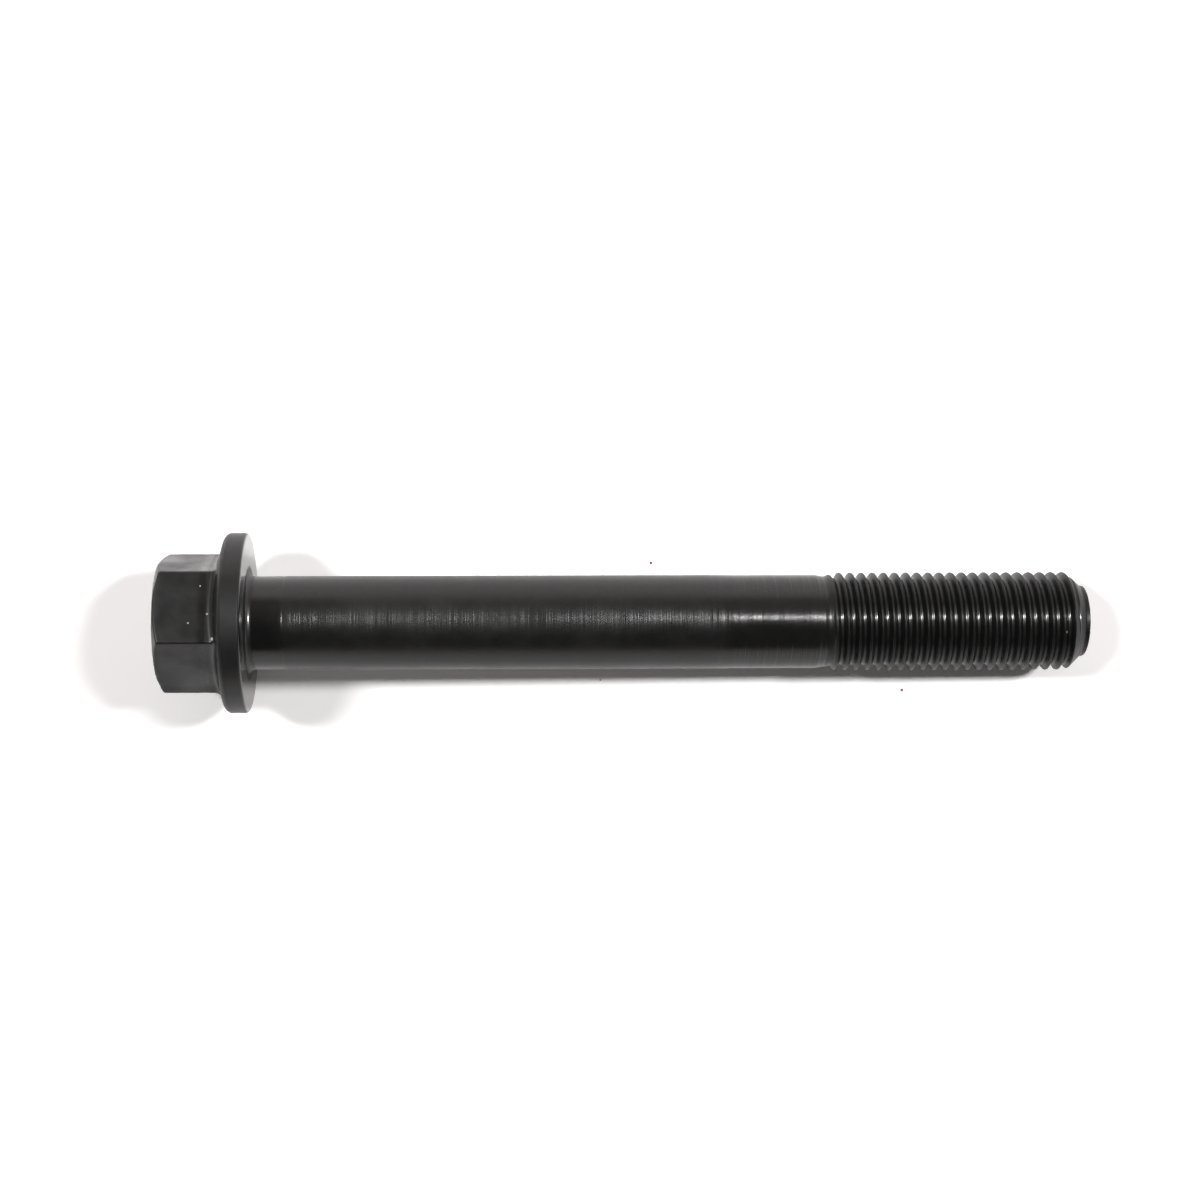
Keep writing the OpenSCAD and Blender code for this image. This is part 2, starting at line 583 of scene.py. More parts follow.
HEAD = BlackOxide(
    name="head_black_oxide",
    handling=Handling.FORGED,
    colour=(0.0050, 0.0050, 0.0050),
    roughness=0.37,
    mottle=0.08,
    mottle_size=1.3,
    grain=0.008,
    grain_size=0.16,
    oil=1.1,
    dust=0.10,
    index=1.46,
    specks=(
        Speck((-3.84, 1.06, 6.97), 0.16),
        Speck((-3.19, -1.66, 7.81), 0.24),
        Speck((-5.88, 0.08, 7.22), 0.10),
        Speck((-4.70, 4.12, 6.14), 0.10),
    ),
)
FLANGE = BlackOxide(
    name="flange_black_oxide",
    handling=Handling.TURNED,
    colour=(0.0046, 0.0046, 0.0046),
    roughness=0.42,
    mottle=0.07,
    mottle_size=1.8,
    grain=0.004,
    grain_size=0.14,
    oil=0.1,
    dust=0.04,
    index=1.53,
    film_index=1.8,
    film_roughness=0.19,
)
SHANK = BlackOxide(
    name="shank_black_oxide",
    handling=Handling.DRAWN,
    colour=(0.0040, 0.0040, 0.0039),
    roughness=0.36,
    mottle=0.08,
    mottle_size=2.0,
    grain=0.0025,
    grain_size=0.16,
    oil=0.1,
    dust=0.02,
)
THREAD = BlackOxide(
    name="thread_black_oxide",
    handling=Handling.ROLLED,
    colour=(0.0043, 0.0043, 0.0042),
    roughness=0.34,
    mottle=0.05,
    mottle_size=0.9,
    grain=0.004,
    grain_size=0.10,
    oil=0.2,
    dust=0.05,
    # Pale fleck painted as a highlight at the start of the end chamfer
    specks=(Speck((90.42, -1.18, 5.18), 0.16),),
    index=1.40,
    film_index=1.65,
)
POINT = BlackOxide(
    name="point_black_oxide",
    handling=Handling.CROPPED,
    colour=(0.0045, 0.0045, 0.0044),
    roughness=0.36,
    mottle=0.08,
    mottle_size=1.0,
    grain=0.004,
    grain_size=0.12,
    oil=0.1,
    dust=0.04,
    index=1.42,
)


# --------------------------------------------------------------------- shapes


def arc(centre: Point2, radius: float, start: float, end: float, steps: int) -> list[Point2]:
    """Points of an arc in the plane of a profile.

    Args:
        centre: place along the axis and radius of its centre.
        radius: radius of the arc.
        start: first angle in degrees, from +X towards outward.
        end: last angle in degrees.
        steps: number of its segments.

    Returns:
        The points, both ends included.
    """
    angles = (math.radians(start + (end - start) * i / steps) for i in range(steps + 1))
    return [
        (centre[0] + radius * math.cos(angle), centre[1] + radius * math.sin(angle))
        for angle in angles
    ]


def line(start: Point2, end: Point2, steps: int) -> list[Point2]:
    """Points of a straight line in the plane of a profile.

    Args:
        start: its first point.
        end: its last point.
        steps: number of its segments.

    Returns:
        The points, both ends included.
    """
    return [
        (
            start[0] + (end[0] - start[0]) * i / steps,
            start[1] + (end[1] - start[1]) * i / steps,
        )
        for i in range(steps + 1)
    ]


def eased(share: float) -> float:
    """A share from 0 to 1 that starts and ends gently."""
    return share * share * (3.0 - 2.0 * share)


def signed_volume(vertices: np.ndarray, faces: Sequence[Sequence[int]]) -> float:
    """Volume that closed faces enclose.

    Args:
        vertices: places of the corners.
        faces: numbers of the corners of each face, in order.

    Returns:
        The volume, positive where the faces face outwards.
    """
    total = 0.0
    for face in faces:
        first = vertices[face[0]]
        for second, third in zip(face[1:-1], face[2:]):
            total += float(np.dot(first, np.cross(vertices[second], vertices[third])))
    return total / 6.0


def skinned(name: str, angles: np.ndarray, rings: np.ndarray, sharp: float) -> bpy.types.Object:
    """Skins rings of points round the axis, from one pole to the other.

    Args:
        name: name of the object.
        angles: angle of each column, in radians from +Y towards +Z.
        rings: place along the axis and radius by ring and column; the first and last are poles.
        sharp: angle in degrees over which an edge stays sharp.

    Returns:
        The closed object, facing outwards.
    """
    columns = len(angles)
    inner = rings[1:-1]
    along, radius = inner[..., 0], inner[..., 1]
    skin = np.stack([along, radius * np.cos(angles), radius * np.sin(angles)], axis=-1)
    poles = [[rings[0, 0, 0], 0.0, 0.0], [rings[-1, 0, 0], 0.0, 0.0]]
    vertices = np.concatenate([skin.reshape(-1, 3), np.array(poles)]) * MM
    count = len(inner)
    first_pole, last_pole = count * columns, count * columns + 1
    faces: list[tuple[int, ...]] = []
    for column in range(columns):
        beside = (column + 1) % columns
        faces.append((first_pole, beside, column))
        for ring in range(count - 1):
            low, high = ring * columns, (ring + 1) * columns
            faces.append((low + column, low + beside, high + beside, high + column))
        base = (count - 1) * columns
        faces.append((last_pole, base + column, base + beside))
    if signed_volume(vertices, faces) < 0.0:
        faces = [tuple(reversed(face)) for face in faces]
    mesh = bpy.data.meshes.new(name)
    mesh.from_pydata(vertices.tolist(), [], faces)
    return shown(name, mesh, sharp)


def shown(name: str, mesh: bpy.types.Mesh, sharp: float) -> bpy.types.Object:
    """Shades a mesh smoothly, with its sharp edges kept, and links an object for it.

    Args:
        name: name of the object.
        mesh: the mesh to show.
        sharp: angle in degrees over which an edge stays sharp.

    Returns:
        The object.
    """
    mesh.validate()
    mesh.shade_smooth()
    mesh.set_sharp_from_angle(angle=math.radians(sharp))
    made = bpy.data.objects.new(name, mesh)
    bpy.context.scene.collection.objects.link(made)
    return made


def revolved(name: str, profile: Sequence[Point2], columns: int, sharp: float) -> bpy.types.Object:
    """Turns a profile about the axis.

    Args:
        name: name of the object.
        profile: places along the axis and radii, from pole to pole.
        columns: number of columns round the axis.
        sharp: angle in degrees over which an edge stays sharp.

    Returns:
        The closed object.
    """
    angles = np.arange(columns) * TAU / columns
    rings = np.repeat(np.array(profile)[:, None, :], columns, axis=1)
    return skinned(name, angles, rings, sharp)


# --------------------------------------------------------------------- pieces


# Sizes that zones share. The depths of the thread are shares of its sharp triangle's height.
FLAT_RADIUS = 7.0
SHANK_RADIUS = 5.25
POINT_RADIUS = 3.95
POINT_LENGTH = 0.45
UNDERHEAD_LENGTH = 93.4
CREST_RADIUS = 5.5
PITCH = 1.25
SHARP_SHARE = math.sqrt(3.0) / 2.0
FLANK_SLOPE = math.sqrt(3.0)
BLANK_RADIUS = round(CREST_RADIUS - PITCH * SHARP_SHARE * 3.0 / 8.0, 3)
ROOT_RADIUS = round(CREST_RADIUS - PITCH * SHARP_SHARE * 17.0 / 24.0, 3)


@dataclass
class Piece:
    """A zone of the bolt that stands for one node of the frame.

    Args:
        node: name of the node.
        finish: finish of the zone.
    """

    node: str
    finish: BlackOxide

    @property
    def span(self) -> Point2:
        """Where the node starts and ends along the axis, in millimetres."""
        low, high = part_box(self.node)
        return low.x / MM, high.x / MM

    def shape(self) -> bpy.types.Object:
        """Builds the zone's object."""
        raise NotImplementedError

    def build(self) -> bpy.types.Object:
        """Builds the zone, dresses it and ties it to the frame.

        Returns:
            The finished object.
        """
        made = self.shape()
        made.data.materials.clear()
        made.data.materials.append(self.finish.material())
        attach(made, "root")
        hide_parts(self.node)
        LOG.info("%s: %d faces", made.name, len(made.data.polygons))
        return made


@dataclass
class HexHead(Piece):
    """Wrench hexagon with its end chamfer, run out onto the flange with a fillet.

    Args:
        flat_radius: half the width across flats.
        end_radius: radius of the flat end face.
        chamfer: angle of the end chamfer from the end face, in degrees.
        turn: turn of the hexagon about the axis, in degrees from +Z.
        corner_round: radius on the corners between the flats.
        face_round: radius between the chamfer and the middle of a flat.
        blend_round: radius between the chamfer and a corner.
        end_round: radius between the end face and the chamfer.
        foot_round: radius of the fillet onto the flange.
        sink: depth to which the fillet's foot sinks into the flange.
        core_end: place along the axis of the flat inside the flange that closes the head.
        core_radius: radius of that flat.
        flat_steps: columns over a flat.
        corner_steps: columns over a corner.
    """

    flat_radius: float = FLAT_RADIUS
    end_radius: float = 6.8
    chamfer: float = 28.0
    turn: float = 15.0
    corner_round: float = 0.35
    face_round: float = 0.35
    blend_round: float = 0.45
    end_round: float = 0.22
    foot_round: float = 0.9
    sink: float = 0.02
    core_end: float = -2.9
    core_radius: float = 3.0
    flat_steps: int = 22
    corner_steps: int = 10

    def outline(self) -> tuple[np.ndarray, np.ndarray]:
        """Angles and radii of the rounded hexagon.

        Returns:
            The angle of each column, from +Y towards +Z, and its radius.
        """
        inner = self.flat_radius - self.corner_round
        reach = inner / math.cos(math.pi / 6)
        half = math.atan(inner * math.tan(math.pi / 6) / self.flat_radius)
        angles: list[float] = []
        radii: list[float] = []
        for side in range(6):
            normal = math.radians(90.0 - self.turn + 60.0 * side)
            for step in range(self.flat_steps):
                offset = -half + 2.0 * half * step / self.flat_steps
                angles.append(normal + offset)
                radii.append(self.flat_radius / math.cos(offset))
            corner = normal + math.pi / 6
            spread = math.pi / 6 - half
            for step in range(self.corner_steps):
                offset = -spread + 2.0 * spread * step / self.corner_steps
                across = self.corner_round**2 - (reach * math.sin(offset)) ** 2
                angles.append(corner + offset)
                radii.append(reach * math.cos(offset) + math.sqrt(across))
        return np.array(angles), np.array(radii)

    def column(self, radius: float, flange: "Flange") -> list[Point2]:
        """Profile of the head where its side stands at a radius.

        Args:
            radius: radius of the hexagon's side in this column.
            flange: the flange it stands on.

        Returns:
            Places along the axis and radii, from pole to pole.
        """
        end = self.span[0]
        slope = math.radians(self.chamfer)
        chamfer_top = 180.0 - self.chamfer
        flat_edge = self.end_radius - self.end_round * math.tan(slope / 2)
        points = line((end, 0.0), (end, flat_edge), steps=6)
        centre = (end + self.end_round, flat_edge)
        points += arc(centre, self.end_round, 180.0, chamfer_top, steps=5)[1:]

        widest = self.flat_radius / math.cos(math.pi / 6)
        share = (radius - self.flat_radius) / (widest - self.flat_radius)
        blend = self.face_round + (self.blend_round - self.face_round) * share
        corner = end + (radius - self.end_radius) * math.tan(slope)
        run = blend * math.tan((math.pi / 2 - slope) / 2)
        points += arc((corner + run, radius - blend), blend, chamfer_top, 90.0, steps=10)

        back = flange.back_at(radius + self.foot_round) + self.sink
        tilt = math.radians(flange.slope)
        foot = (back - self.foot_round / math.cos(tilt), radius + self.foot_round)
        points += line(points[-1], (foot[0], radius), steps=8)[1:]
        points += arc(foot, self.foot_round, 270.0, 360.0 - flange.slope, steps=12)[1:]

        under = (points[-1][0] + self.foot_round / 3.0, points[-1][1] - self.foot_round / 1.5)
        return points + [under, (self.core_end, self.core_radius), (self.core_end, 0.0)]

    def shape(self) -> bpy.types.Object:
        """Builds the head from its columns.

        Returns:
            The head's object.
        """
        angles, radii = self.outline()
        flange = Flange("flange", FLANGE)
        rings = np.array([self.column(radius, flange) for radius in radii])
        return skinned("wrench_hexagon", angles, rings.transpose(1, 0, 2), sharp=40.0)


@dataclass
class Flange(Piece):
    """Flange with its bearing face, and the neck fillet that leads into the shank.

    Args:
        radius: outer radius of the flange.
        rim: thickness at the rim.
        edge: radius on the rim's edge beside the bearing face.
        back_edge: radius on the rim's edge beside the back.
        break_angle: angle at which the rim breaks into its edges, in degrees.
        slope: slope of the back from the bearing face, in degrees.
        neck: radius of the shank at the end of the fillet.
        fillet: radius of the neck fillet.
        seat: radius to which the flat under the hexagon reaches.
        back_end: radius at which the sloped back runs into the rim's edge.
    """

    radius: float = 10.1
    rim: float = 2.4
    edge: float = 0.4
    back_edge: float = 0.75
    break_angle: float = 28.0
    slope: float = 16.0
    neck: float = SHANK_RADIUS
    fillet: float = 0.7
    seat: float = 6.0
    back_end: float = 9.2

    def back_at(self, radius: float) -> float:
        """Place along the axis of the sloped back at a radius."""
        return -self.rim - (self.radius - radius) * math.tan(math.radians(self.slope))

    def shape(self) -> bpy.types.Object:
        """Builds the flange as one revolved profile.

        Returns:
            The flange's object.
        """
        seat = (self.back_at(self.seat), self.seat)
        points = line((seat[0], 0.0), seat, steps=3)
        points += line(seat, (self.back_at(self.back_end), self.back_end), steps=8)[1:]

        turned = math.radians(self.break_angle)
        reach = math.sin(turned) - (1.0 - math.cos(turned)) / math.tan(turned)
        run = self.back_edge * math.tan(math.radians(90.0 - self.slope) / 2)
        back = (-self.rim + run, self.radius - self.back_edge)
        front = (-self.edge, self.radius - self.edge)
        first, last = 180.0 - self.slope, 90.0 + self.break_angle
        points += arc(back, self.back_edge, first, last, steps=10)
        points.append((back[0] - self.back_edge * reach, self.radius))
        points.append((front[0] + self.edge * reach, self.radius))
        points += arc(front, self.edge, 90.0 - self.break_angle, 0.0, steps=8)

        outer = self.neck + self.fillet
        points += line(points[-1], (0.0, outer), steps=6)[1:]
        points += arc((self.fillet, outer), self.fillet, 180.0, 270.0, steps=14)[1:]
        points.append((self.fillet, 0.0))
        return revolved("flange_with_neck", points, columns=256, sharp=20.0)


@dataclass
class Shank(Piece):
    """Plain shank with the faint ring of the forging die, tapered down to the blank.

    Args:
        radius: radius of the shank.
        blank: radius of the blank where the thread starts.
        ring: place along the axis of the die's ring.
        ring_depth: depth of the die's ring.
        ring_half: half the width of the die's ring.
        taper: length of the taper.
        taper_ease: length over which the shank bends into the taper.
        turned_from: place along the axis where the turning marks start.
        turned_fade: length over which they reach their full depth.
        turned_depth: depth of the turning marks.
        marks: spacing and shift of each set of turning marks.
        mark_step: length of a segment over the turning marks.
    """

    radius: float = SHANK_RADIUS
    blank: float = BLANK_RADIUS
    ring: float = 3.95
    ring_depth: float = 0.032
    ring_half: float = 0.27
    taper: float = 0.9
    taper_ease: float = 0.3
    turned_from: float = 51.8
    turned_fade: float = 3.6
    turned_depth: float = 0.040
    marks: tuple[Point2, ...] = ((0.343, 0.0), (0.271, 1.7), (0.198, 0.4))
    mark_step: float = 0.04

    def turning(self, along: float) -> float:
        """Depth of the turning marks.

        Args:
            along: place along the axis.

        Returns:
            The depth, from 0 to the full one.
        """
        share = min(1.0, max(0.0, (along - self.turned_from) / self.turned_fade))
        waves = sum(math.sin(TAU * along / spacing + shift) for spacing, shift in self.marks)
        return self.turned_depth * eased(share) * 0.5 * (1.0 + waves / len(self.marks))

    def die_ring(self) -> list[Point2]:
        """Profile of the die's ring, a shallow hollow with soft sides.

        Returns:
            Places along the axis and radii.
        """
        points: list[Point2] = []
        for place, share in line((-self.ring_half, -1.0), (self.ring_half, 1.0), steps=16):
            depth = self.ring_depth * 0.5 * (1.0 + math.cos(math.pi * share))
            points.append((self.ring + place, self.radius - depth))
        return points

    def shape(self) -> bpy.types.Object:
        """Builds the shank as one revolved profile.

        Returns:
            The shank's object.
        """
        start, end = self.span
        points = [(start, 0.0), (start, self.radius)] + self.die_ring()
        points += line(points[-1], (self.turned_from, self.radius), steps=40)[1:]
        steps = math.ceil((end - self.turned_from) / self.mark_step)
        bend = end - self.taper - self.taper_ease
        for along, _ in line((self.turned_from, 0.0), (end, 0.0), steps)[1:]:
            share = max(0.0, (along - bend) / (end - bend))
            outer = self.radius + (self.blank - self.radius) * eased(share)
            points.append((along, outer - self.turning(along)))
        points.append((end, 0.0))
        return revolved("plain_shank", points, columns=192, sharp=40.0)


@dataclass
class Point(Piece):
    """Short plain point, with the end of the thread's chamfer leading down to it.

    Args:
        root: radius where the thread ends.
        radius: radius of the point.
        length: length of the point.
        edge: radius on the edge of its end.
    """

    root: float = ROOT_RADIUS
    radius: float = POINT_RADIUS
    length: float = POINT_LENGTH
    edge: float = 0.14

    def shape(self) -> bpy.types.Object:
        """Builds the point as one revolved profile.

        Returns:
            The point's object.
        """
        start, end = self.span
        centre = (end - self.edge, self.radius - self.edge)
        points: list[Point2] = [(start, 0.0)]
        points += line((start, self.root), (end - self.length, self.radius), steps=6)
        points += arc(centre, self.edge, 90.0, 0.0, steps=8)
        points += line(points[-1], (end, 0.0), steps=5)[1:]
        return revolved("chamfered_point", points, columns=160, sharp=40.0)


@dataclass
class RolledThread(Piece):
    """Right-hand rolled thread, made by a node tree as a grid sheared along the helix.

    Args:
        pitch: pitch of the thread.
        crest: radius of the crests.
        blank: radius of the blank.
        runout: length in which the thread rises to its full depth.
        chamfer_end: place along the axis where the end chamfer meets the point.
        point: radius of the point there.
        turn: turn of the thread about the axis, in degrees.
        crest_round: radius of the crests' rounding.
        root_round: radius of the roots' rounding.
        rows: rows of the grid in one pitch.
        columns: columns of the grid round the axis.
        turns_before: turns of the grid before the thread starts.
        turns_spare: turns of the grid beyond the thread's length.
        crowding: how far the rows crowd at the crests and the roots, from 0 to 1.
    """

    pitch: float = PITCH
    crest: float = CREST_RADIUS
    blank: float = BLANK_RADIUS
    runout: float = 1.2
    chamfer_end: float = UNDERHEAD_LENGTH - POINT_LENGTH
    point: float = POINT_RADIUS
    turn: float = 138.0
    crest_round: float = 0.15
    root_round: float = 0.28
    rows: int = 28
    columns: int = 96
    turns_before: float = 2.0
    turns_spare: int = 3
    crowding: float = 0.6

    def inputs(self) -> dict[str, float]:
        """Inputs of the node tree.

        Returns:
            The value of each by its name: lengths in millimetres, the turn as a share of one.
        """
        start, end = self.span
        return {
            "Start": start,
            "End": end,
            "Pitch": self.pitch,
            "Turn": self.turn / 360.0,
            "Crest radius": self.crest,
            "Blank radius": self.blank,
            "Runout length": self.runout,
            "Chamfer end": self.chamfer_end,
            "Point radius": self.point,
            "Crest rounding": self.crest_round,
            "Root rounding": self.root_round,
        }

    def tree(self) -> bpy.types.NodeTree:
        """Builds the node tree of the thread.

        Returns:
            The tree, with one input for each size and one for the finish.
        """
        made = bpy.data.node_groups.new("rolled_thread", "GeometryNodeTree")
        for name in self.inputs():
            made.interface.new_socket(name, in_out="INPUT", socket_type="NodeSocketFloat")
        made.interface.new_socket("Finish", in_out="INPUT", socket_type="NodeSocketMaterial")
        made.interface.new_socket("Thread", in_out="OUTPUT", socket_type="NodeSocketGeometry")
        graph = Graph(made)
        group = graph.node("NodeGroupInput").socket.node
        given = {socket.name: Wire(graph, socket) for socket in group.outputs}
        turns = math.ceil((self.span[1] - self.span[0]) / self.pitch) + self.turns_spare
        row_count = turns * self.rows + 1
        grid = graph.node(
            "GeometryNodeMeshGrid",
            None,
            {
                "Size X": 1.0,
                "Size Y": 1.0,
                "Vertices X": self.columns + 1,
                "Vertices Y": row_count,
            },
            "Mesh",
        )
        across, down, _ = graph.parts(graph.node("GeometryNodeInputPosition"))
        round_share = across + 0.5
        row = (down + 0.5) * turns
        wave = 2.0 * TAU
        warped = row - graph.maths("SINE", row * wave) * (self.crowding / wave)
        turned = warped - self.turns_before + given["Turn"] + round_share
        free = given["Start"] + given["Pitch"] * turned
        along = free.most(given["Start"]).least(given["End"])
        inside = graph.maths("COMPARE", down, 0.0, 0.5 - 0.25 / row_count)
        radius = self.radius_at(graph, given, warped, along) * inside
        angle = round_share * TAU
        place = graph.join(
            along * MM,
            radius * graph.maths("COSINE", angle) * MM,
            radius * graph.maths("SINE", angle) * MM,
        )
        skin = graph.node("GeometryNodeSetPosition", None, {"Geometry": grid, "Position": place})
        skin = graph.node("GeometryNodeMergeByDistance", None, {"Geometry": skin, "Distance": 1e-7})
        skin = graph.node("GeometryNodeSetShadeSmooth", None, {"Geometry": skin})
        skin = graph.node("GeometryNodeRealizeInstances", None, {"Geometry": skin})
        skin = graph.node(
            "GeometryNodeSetMaterial", None, {"Geometry": skin, "Material": given["Finish"]}
        )
        graph.node("NodeGroupOutput", None, {"Thread": skin})
        return made

    def radius_at(self, graph: Graph, given: dict[str, Wire], turn: Wire, along: Wire) -> Wire:
        """Radius of the thread.

        Args:
            graph: the graph being filled.
            given: its named inputs.
            turn: number of turns along the helix, whole at the middle of a crest.
            along: place along the axis.

        Returns:
            The radius, with the runout and the end chamfer taken into account.
        """
        part = graph.maths("FRACT", turn)
        off_crest = (0.5 - abs(part - 0.5)) * given["Pitch"]
        off_root = 0.5 * given["Pitch"] - off_crest
        top = given["Crest radius"] + given["Pitch"] * (SHARP_SHARE / 8.0)
        bottom = top - given["Pitch"] * SHARP_SHARE
        flank = top - off_crest * FLANK_SLOPE
        crest_round, root_round = given["Crest rounding"], given["Root rounding"]
        crest = top - crest_round * 2.0 + self.bow(graph, crest_round, off_crest)
        root = bottom + root_round * 2.0 - self.bow(graph, root_round, off_root)
        form = flank + (crest_round * SHARP_SHARE).over(off_crest) * (crest - flank)
        form = form + (root_round * SHARP_SHARE).over(off_root) * (root - flank)
        share = ((along - given["Start"]) / given["Runout length"]).least(1.0)
        risen = given["Blank radius"] + share * (form - given["Blank radius"])
        chamfer = given["Point radius"] + given["Chamfer end"] - along
        return risen.least(chamfer)

    @staticmethod
    def bow(graph: Graph, radius: Wire, offset: Wire) -> Wire:
        """Height of a circle of a radius over its centre, at an offset from the centre."""
        return graph.maths("SQRT", (radius * radius - offset * offset).most(0.0))

    def shape(self) -> bpy.types.Object:
        """Runs the node tree once and keeps its result as a plain mesh.

        Returns:
            The thread's object.
        """
        host = bpy.data.objects.new("rolled_thread_host", bpy.data.meshes.new("host"))
        bpy.context.scene.collection.objects.link(host)
        modifier = host.modifiers.new("thread", "NODES")
        tree = self.tree()
        modifier.node_group = tree
        values = self.inputs()
        for item in tree.interface.items_tree:
            if item.in_out == "INPUT" and item.name in values:
                modifier[item.identifier] = float(values[item.name])
        depsgraph = bpy.context.evaluated_depsgraph_get()
        depsgraph.update()
        mesh = bpy.data.meshes.new_from_object(host.evaluated_get(depsgraph))
        host.modifiers.remove(modifier)
        bpy.data.objects.remove(host)
        mesh.name = "rolled_thread"
        if self.faces_inwards(mesh):
            mesh.flip_normals()
        return shown("rolled_thread", mesh, sharp=60.0)

    @staticmethod
    def faces_inwards(mesh: bpy.types.Mesh) -> bool:
        """Whether the faces of a closed mesh face inwards.

        Args:
            mesh: the mesh to look at.

        Returns:
            True if they do.
        """
        vertices = np.empty(len(mesh.vertices) * 3)
        mesh.vertices.foreach_get("co", vertices)
        faces = [tuple(face.vertices) for face in mesh.polygons]
        return signed_volume(vertices.reshape(-1, 3), faces) < 0.0


# --------------------------------------------------------------------- studio


PLAIN_WHITE: Colour = (0.988, 0.974, 0.981)


@dataclass(frozen=True)
class Lamp:
    """A small oval lamp that shines at the bolt.

    Args:
        name: name of the lamp.
        place: where it hangs.
        power: its power in watts.
        width: its width along the bolt and across it.
        colour: its colour.
    """

    name: str
    place: Point3
    power: float
    width: tuple[float, float]
    colour: Colour = (1.0, 0.985, 0.98)

    def build(self, target: Vector) -> bpy.types.Object:
        """Hangs the lamp and turns it towards a target.

        Args:
            target: the place it shines at, in metres.

        Returns:
            The lamp's object.
        """
        light = bpy.data.lights.new(self.name, "AREA")
        light.shape = "ELLIPSE"
        light.size_y = self.width[0] * MM
        light.size = self.width[1] * MM
        light.energy = self.power
        light.color = self.colour
        made = bpy.data.objects.new(self.name, light)
        made.location = Vector(self.place) * MM
        aim = target - made.location
        made.rotation_euler = aim.to_track_quat("-Z", "Y").to_euler()
        made.visible_camera = False
        bpy.context.scene.collection.objects.link(made)
        return made


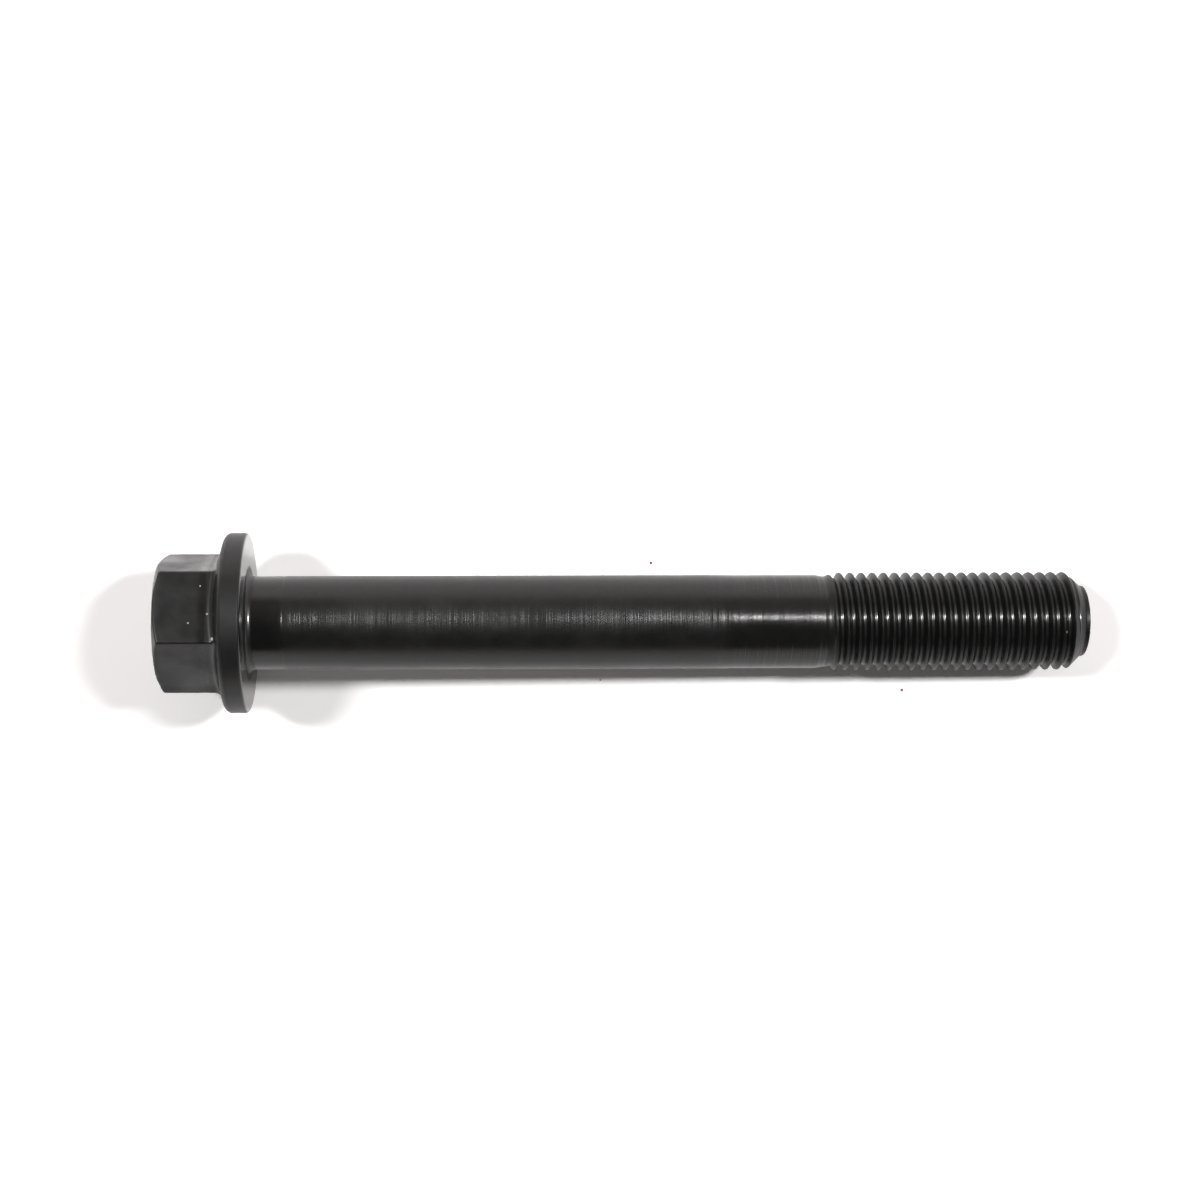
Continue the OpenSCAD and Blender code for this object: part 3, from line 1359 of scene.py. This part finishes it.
@dataclass
class Studio:
    """White table, two small lamps, dim room and camera.

    Args:
        tilt: slope of the table against the bolt, which rests on its flange and its end.
        drop: depth of the table under the bearing face's centre.
        half_table: half the width of the table.
        paper: colour of the table, as bright as it's exposed.
        paper_back: colour of the table in reflections, towards +Y.
        paper_front_painted_shade: colour of the table in reflections, towards -Y, darker than
            towards +Y as painted shade.
        paper_turn: metres across the bolt over which the one runs into the other.
        paper_middle: place along the bolt round which the paper lies.
        paper_end: metres from there over which it runs out into plain white.
        lint: specks of reddish lint on the table.
        lint_colour: colour of the lint.
        lamps: the lamps.
        aim: the place they shine at.
        camera_place: where the camera hangs.
        camera_roll: its roll, in degrees.
        lens: its focal length on a sensor 36 mm wide.
        shift: its sideways shift, as a share of the sensor.
        sky_low: level of the room towards -Y.
        sky_mid: level of the room towards +Y.
        sky_back: level that the back wall adds.
        sky_front: level that the front wall adds.
        sky_tint: colour of the room.
        overhead: lean, in degrees from overhead towards +Y, over which low runs into mid.
        back_wall: lean over which the back wall sets in, towards +Y.
        front_wall: lean over which the front wall sets in, towards -Y.
        wall_ends: X of the way out, taken without its sign, over which both walls set in.
    """

    tilt: float = 2.885
    drop: float = 10.12
    half_table: float = 4000.0
    paper: Colour = (1.24, 1.233, 1.24)
    paper_back: Colour = (0.92, 0.915, 0.92)
    paper_front_painted_shade: Colour = (0.74, 0.735, 0.74)
    paper_turn: Fade = Fade(-0.01, 0.01)
    paper_middle: float = 45.0
    paper_end: Fade = Fade(0.12, 0.3)
    lint: tuple[Speck, ...] = (
        Speck((45.7, 6.74, 0.0), 0.24),
        Speck((74.5, -7.99, 0.0), 0.24),
        Speck((39.8, -6.81, 0.0), 0.15),
    )
    lint_colour: Colour = (0.22, 0.05, 0.08)
    lamps: tuple[Lamp, ...] = (
        Lamp("lamp_left", (-645.0, 205.0, 990.0), 8.1, (280.0, 125.0)),
        Lamp("lamp_right", (690.0, 210.0, 990.0), 9.3, (280.0, 125.0)),
    )
    aim: Point3 = (40.0, 0.0, 0.0)
    camera_place: Point3 = (27.8, 2.50, 244.0)
    camera_roll: float = -0.15
    lens: float = 65.2
    shift: float = 0.0858
    sky_low: float = 0.08
    sky_mid: float = 0.32
    sky_back: float = 0.75
    sky_front: float = 0.66
    sky_tint: Colour = (1.06, 1.0, 0.97)
    overhead: Fade = Fade(-10.0, 50.0)
    back_wall: Fade = Fade(52.0, 76.0)
    front_wall: Fade = Fade(-66.0, -82.0)
    wall_ends: Fade = Fade(0.75, 0.3)

    def table(self) -> bpy.types.Object:
        """Lays the table under the bolt.

        Returns:
            The table's object.
        """
        half = self.half_table * MM
        corners = [(-half, -half, 0.0), (half, -half, 0.0), (half, half, 0.0), (-half, half, 0.0)]
        mesh = bpy.data.meshes.new("table")
        mesh.from_pydata(corners, [], [(0, 1, 2, 3)])
        made = bpy.data.objects.new("table", mesh)
        made.location = Vector((0.0, 0.0, -self.drop * MM))
        made.rotation_euler = Euler((0.0, -math.radians(self.tilt), 0.0))
        bpy.context.scene.collection.objects.link(made)
        mesh.materials.append(self.paper_finish())
        return made

    def paper_finish(self) -> bpy.types.Material:
        """White paper near the bolt, which runs out into plain white far from it. In reflections
        its -Y half is darker: painted shade.

        Returns:
            The table's material, clear from below.
        """
        made = bpy.data.materials.new("white_paper")
        made.use_nodes = True
        graph = Graph(made.node_tree)
        place = graph.node("ShaderNodeTexCoord", output="Object")
        off = graph.vector("SUBTRACT", place, (self.paper_middle * MM, 0.0, 0.0))
        far = self.paper_end.at(graph.vector("LENGTH", off, output="Value"))
        paths = graph.node("ShaderNodeLightPath").socket.node
        seen = Wire(graph, paths.outputs["Is Camera Ray"])
        # In reflections the paper towards -Y is darker than towards +Y: painted shade
        side = self.paper_turn.at(graph.parts(place)[1])
        mirrored_paper_and_painted_shade = graph.blend(side, rgba(self.paper_front_painted_shade), rgba(self.paper_back))
        colour = graph.blend(seen, mirrored_paper_and_painted_shade, rgba(self.paper))
        local = graph.millimetres(place)
        for speck in self.lint:
            colour = graph.blend(speck.cover(graph, local), colour, rgba(self.lint_colour))
        paper = graph.node("ShaderNodeBsdfDiffuse", None, {"Color": colour})
        plain = graph.node(
            "ShaderNodeEmission", None, {"Color": rgba(PLAIN_WHITE), "Strength": 1.0}
        )
        clear = graph.node("ShaderNodeBsdfTransparent")
        mirrored = Wire(graph, paths.outputs["Is Glossy Ray"])
        plainly = far * seen.most(mirrored)
        surface = graph.node("ShaderNodeMixShader", None, {0: plainly, 1: paper, 2: plain})
        behind = graph.node("ShaderNodeNewGeometry", output="Backfacing")
        surface = graph.node("ShaderNodeMixShader", None, {0: behind, 1: surface, 2: clear})
        graph.node("ShaderNodeOutputMaterial", None, {"Surface": surface})
        return made

    def room(self) -> None:
        """Dim room with pale walls low down at the back and the front, white to the camera."""
        world = bpy.data.worlds.new("room")
        bpy.context.scene.world = world
        world.use_nodes = True
        graph = Graph(world.node_tree)
        way = graph.node("ShaderNodeTexCoord", output="Generated")
        ends, side, up = graph.parts(way)
        lean = graph.maths("ARCTAN2", side, up) * (180.0 / math.pi)
        level = self.sky_low + self.overhead.at(lean) * (self.sky_mid - self.sky_low)
        back, front = self.back_wall.at(lean), self.front_wall.at(lean)
        walls = back * self.sky_back + front * self.sky_front
        level = level + walls * self.wall_ends.at(abs(ends))
        paths = graph.node("ShaderNodeLightPath").socket.node
        seen = Wire(graph, paths.outputs["Is Camera Ray"])
        dim = graph.node("ShaderNodeBackground", None, {0: rgba(self.sky_tint), 1: level})
        white = graph.node("ShaderNodeBackground", None, {0: rgba(PLAIN_WHITE), 1: 1.0})
        surface = graph.node("ShaderNodeMixShader", None, {0: seen, 1: dim, 2: white})
        graph.node("ShaderNodeOutputWorld", None, {"Surface": surface})

    def camera(self) -> None:
        """Hangs the camera over the bolt."""
        data = bpy.data.cameras.new("camera")
        data.type = "PERSP"
        data.lens = self.lens
        data.sensor_width = 36.0
        data.shift_x = self.shift
        data.clip_start = 0.01
        data.clip_end = 20.0
        made = bpy.data.objects.new("camera", data)
        made.location = Vector(self.camera_place) * MM
        made.rotation_euler = Euler((0.0, 0.0, math.radians(self.camera_roll)))
        bpy.context.scene.collection.objects.link(made)
        bpy.context.scene.camera = made

    def build(self) -> None:
        """Sets up the table, the lamps, the room and the camera."""
        self.table()
        target = Vector(self.aim) * MM
        for lamp in self.lamps:
            lamp.build(target)
        self.room()
        self.camera()
        bpy.context.scene.view_settings.view_transform = "Standard"


def main() -> None:
    """Builds the bolt's zones in order from the head, then the studio."""
    logging.basicConfig(level=logging.INFO, format="%(message)s")
    pieces = [
        HexHead("hex_head", HEAD),
        Flange("flange", FLANGE),
        Shank("shank", SHANK),
        RolledThread("thread", THREAD),
        Point("point", POINT),
    ]
    for piece in pieces:
        piece.build()
    Studio().build()


if __name__ == "__main__":
    main()
